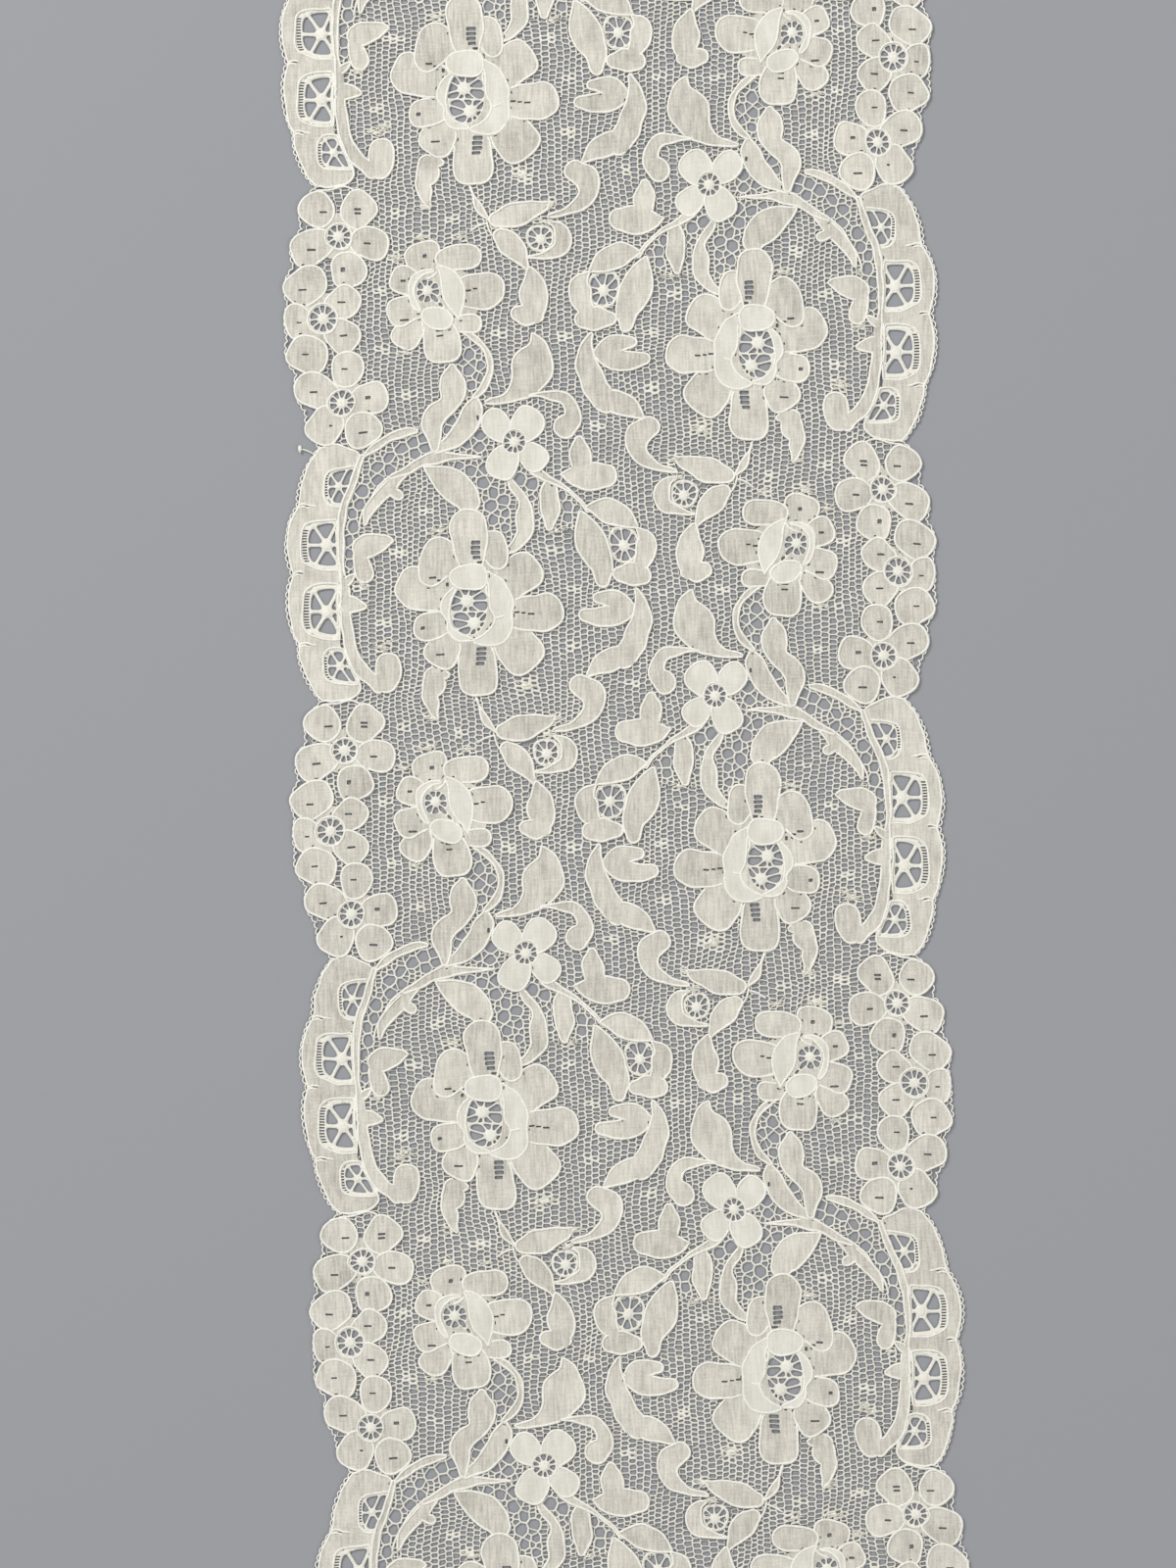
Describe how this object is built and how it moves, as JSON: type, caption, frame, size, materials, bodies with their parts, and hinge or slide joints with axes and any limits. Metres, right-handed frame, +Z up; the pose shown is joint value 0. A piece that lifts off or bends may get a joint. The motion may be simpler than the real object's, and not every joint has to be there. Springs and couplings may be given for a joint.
{
  "type": "alencon lace trim",
  "caption": "Flat cut length of alencon lace galloon: corded flowers and leaves on a net ground, scalloped down both edges.",
  "frame": {"origin": "middle of the trim's bounding box, on its underside", "axes": "+Y along the trim, +X across it, +Z up out of its face"},
  "size_m": [0.1346, 0.336, 0.001],
  "materials": {
    "lace": "matte ivory cotton, sheer net with denser motifs and a smooth raised cord"
  },
  "bodies": {
    "root": {"lace_web": "lace"}
  },
  "joints": []
}
